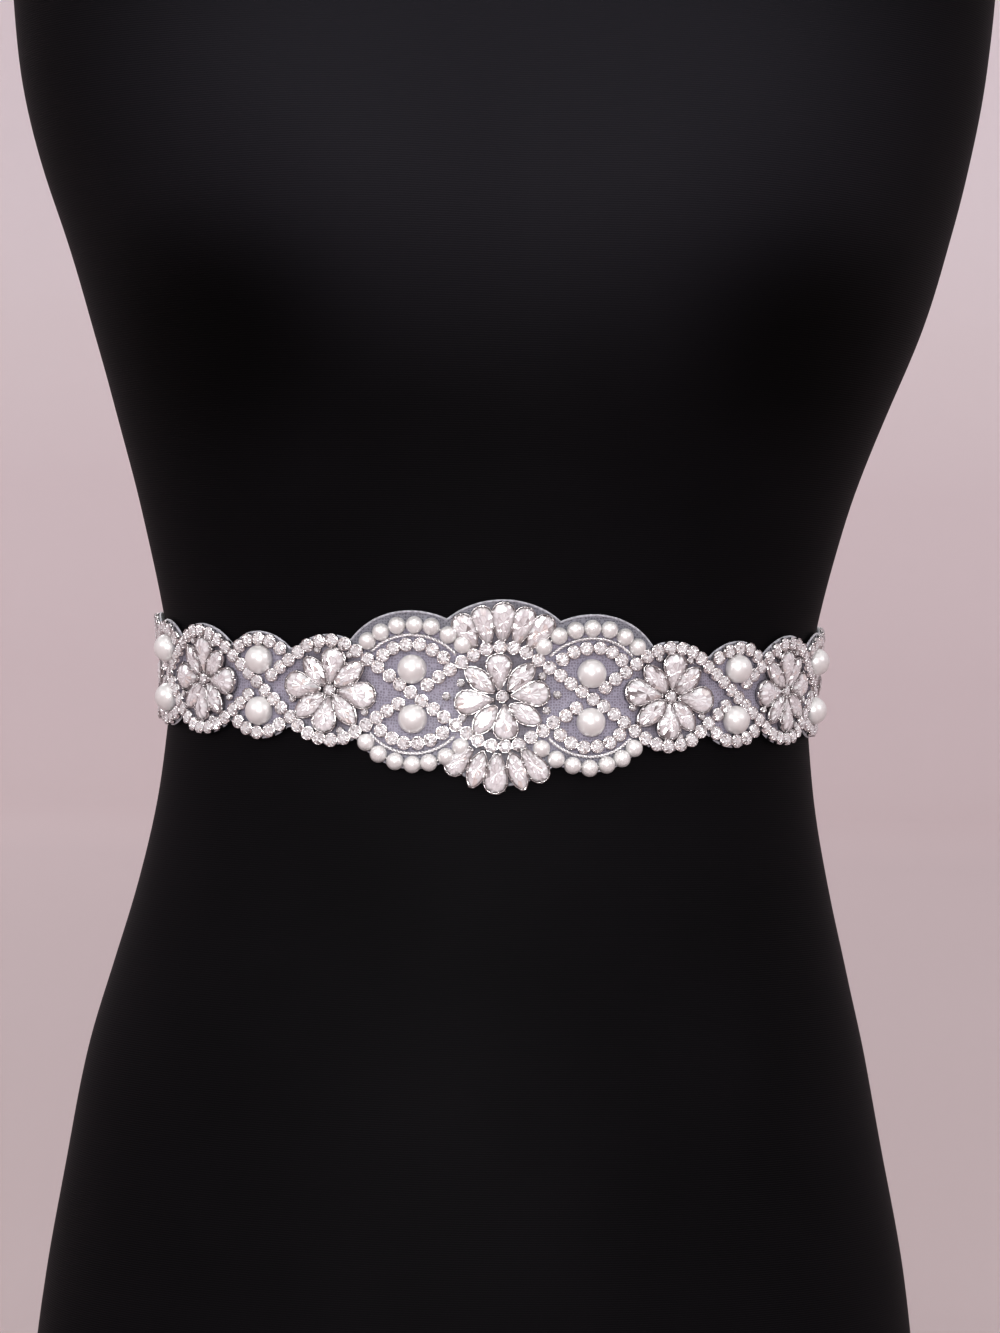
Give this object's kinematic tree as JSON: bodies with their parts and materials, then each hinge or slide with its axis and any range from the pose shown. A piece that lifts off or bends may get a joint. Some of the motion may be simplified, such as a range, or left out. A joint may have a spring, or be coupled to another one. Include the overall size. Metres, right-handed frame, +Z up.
{
  "type": "bridal sash on dress form",
  "caption": "Bridal sash with a scalloped net applique of cup chain, pearls and claw-set stones, on a ribbon tied at the back of a smooth limbless dress form.",
  "frame": {"origin": "middle of the dress form's flat underside, below the middle of the waist", "axes": "+Z up, the front faces -Y, +X to the right of someone who looks at the front"},
  "size_m": [0.331, 0.2548, 0.737],
  "materials": {
    "jersey_black": "smooth matt knitted jersey",
    "net_silver": "sheer silvery net with a turned edge",
    "satin_ivory": "satin",
    "crystal_clear": "faceted clear stones with silvered backs in silver claw settings",
    "chain_silver": "silver cups, each with a round clear stone",
    "pearl_white": "pearl lustre",
    "cord_silver": "twisted metallic thread"
  },
  "bodies": {
    "root": {"arch_lower_1_left": "chain_silver", "arch_lower_1_right": "chain_silver", "arch_lower_2_left": "chain_silver", "arch_lower_2_right": "chain_silver", "arch_lower_3_left": "chain_silver", "arch_lower_3_right": "chain_silver", "arch_upper_1_left": "chain_silver", "arch_upper_1_right": "chain_silver", "arch_upper_2_left": "chain_silver", "arch_upper_2_right": "chain_silver", "arch_upper_3_left": "chain_silver", "arch_upper_3_right": "chain_silver", "chain_end_left": "chain_silver", "chain_end_right": "chain_silver", "chain_middle_lower": "chain_silver", "chain_middle_upper": "chain_silver", "chain_side_left": "chain_silver", "chain_side_right": "chain_silver", "cord_lower_left": "cord_silver", "cord_lower_right": "cord_silver", "cord_upper_left": "cord_silver", "cord_upper_right": "cord_silver", "dress_form": "jersey_black", "fan_lower": "crystal_clear", "fan_upper": "crystal_clear", "flower_1_left": "crystal_clear", "flower_1_right": "crystal_clear", "flower_2_left": "crystal_clear", "flower_2_right": "crystal_clear", "flower_3_left": "crystal_clear", "flower_3_right": "crystal_clear", "flower_middle": "crystal_clear", "net_ground": "net_silver", "pearl_lower_1_left": "pearl_white", "pearl_lower_1_right": "pearl_white", "pearl_lower_2_left": "pearl_white", "pearl_lower_2_right": "pearl_white", "pearl_lower_3_left": "pearl_white", "pearl_lower_3_right": "pearl_white", "pearl_row_lower_left": "pearl_white", "pearl_row_lower_right": "pearl_white", "pearl_row_upper_left": "pearl_white", "pearl_row_upper_right": "pearl_white", "pearl_upper_1_left": "pearl_white", "pearl_upper_1_right": "pearl_white", "pearl_upper_2_left": "pearl_white", "pearl_upper_2_right": "pearl_white", "pearl_upper_3_left": "pearl_white", "pearl_upper_3_right": "pearl_white", "ribbon_knot": "satin_ivory", "ribbon_left": "satin_ivory", "ribbon_right": "satin_ivory", "ribbon_tail_left": "satin_ivory", "ribbon_tail_right": "satin_ivory"}
  },
  "joints": []
}
